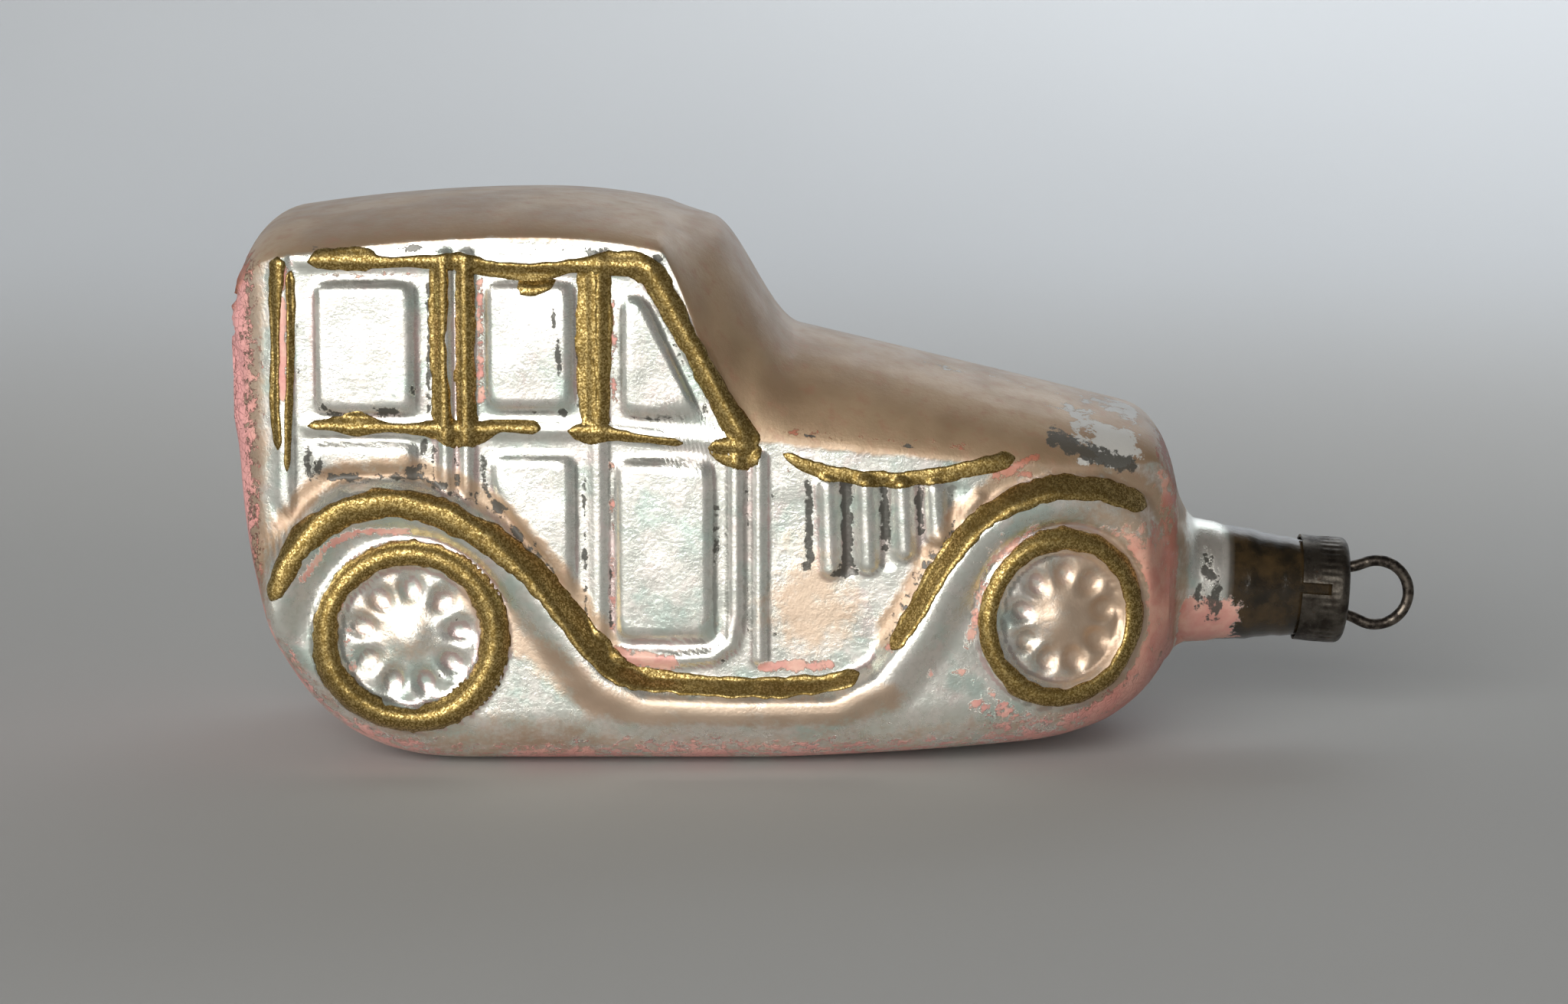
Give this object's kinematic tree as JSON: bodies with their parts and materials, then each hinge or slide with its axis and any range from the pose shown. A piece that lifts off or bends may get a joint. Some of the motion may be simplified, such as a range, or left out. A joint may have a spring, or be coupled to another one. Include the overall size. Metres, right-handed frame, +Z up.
{
  "type": "souvenir christmas ornament",
  "caption": "Hollow mould-blown glass car ornament, silvered and lacquered, with a neck at its nose, a slotted metal cap and a wire hanging eye.",
  "frame": {"origin": "middle of the flat on the underside that the car rests on", "axes": "+X towards the nose and the neck, +Y towards the car's left side, +Z up"},
  "size_m": [0.0925, 0.0332, 0.0438],
  "materials": {
    "silvered_glass": "thin clear glass silvered inside, worn pale pink lacquer and hand-painted gold lines outside",
    "cap_metal": "dark tarnished thin tinplate",
    "wire_metal": "dull dark spring wire"
  },
  "bodies": {
    "glass": {"glass_body": "silvered_glass"},
    "cap": {"cap": "cap_metal"},
    "hanger": {"hanger_wire": "wire_metal"}
  },
  "joints": [
    {"name": "cap_pull", "type": "slide", "parent": "glass", "child": "cap", "axis": [0.9976, 0, -0.0698], "range_m": [0, 0.016]},
    {"name": "wire_pull", "type": "slide", "parent": "cap", "child": "hanger", "axis": [0.9976, 0, -0.0698], "range_m": [0, 0.006]}
  ]
}
